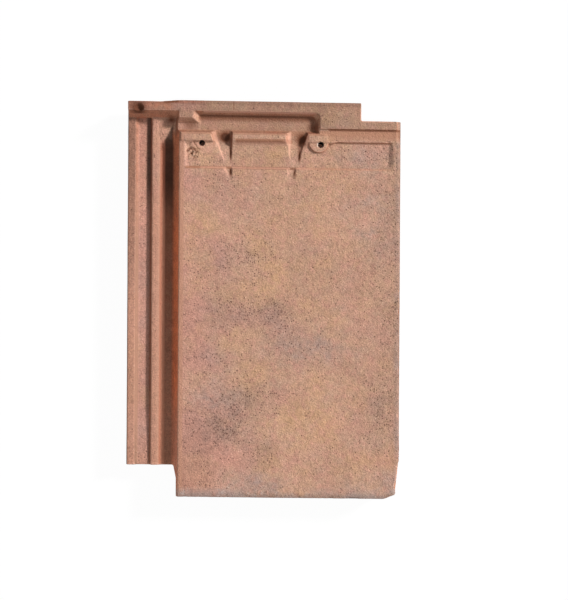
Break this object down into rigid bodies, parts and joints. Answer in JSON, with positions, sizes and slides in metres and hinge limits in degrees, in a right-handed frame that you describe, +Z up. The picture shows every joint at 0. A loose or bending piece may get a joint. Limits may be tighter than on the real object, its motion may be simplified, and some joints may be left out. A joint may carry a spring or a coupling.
{
  "type": "clay roof tile",
  "caption": "Flat interlocking clay roof tile with a double side lock, a drained head channel, nail holes, hanging nibs and a tail lip.",
  "frame": {"origin": "on the floor under the middle of the tile, which lies face up on its tail lip and its nibs", "axes": "+Y along the tile to its head, +X across it to the side that covers the next tile, +Z up out of the face"},
  "size_m": [0.29, 0.42, 0.0333],
  "materials": {
    "fired_clay": "matt fired clay with a sanded, cloudy buff to rose face and bare orange clay on its pressed walls"
  },
  "bodies": {
    "root": {"roof_tile": "fired_clay"}
  },
  "joints": []
}
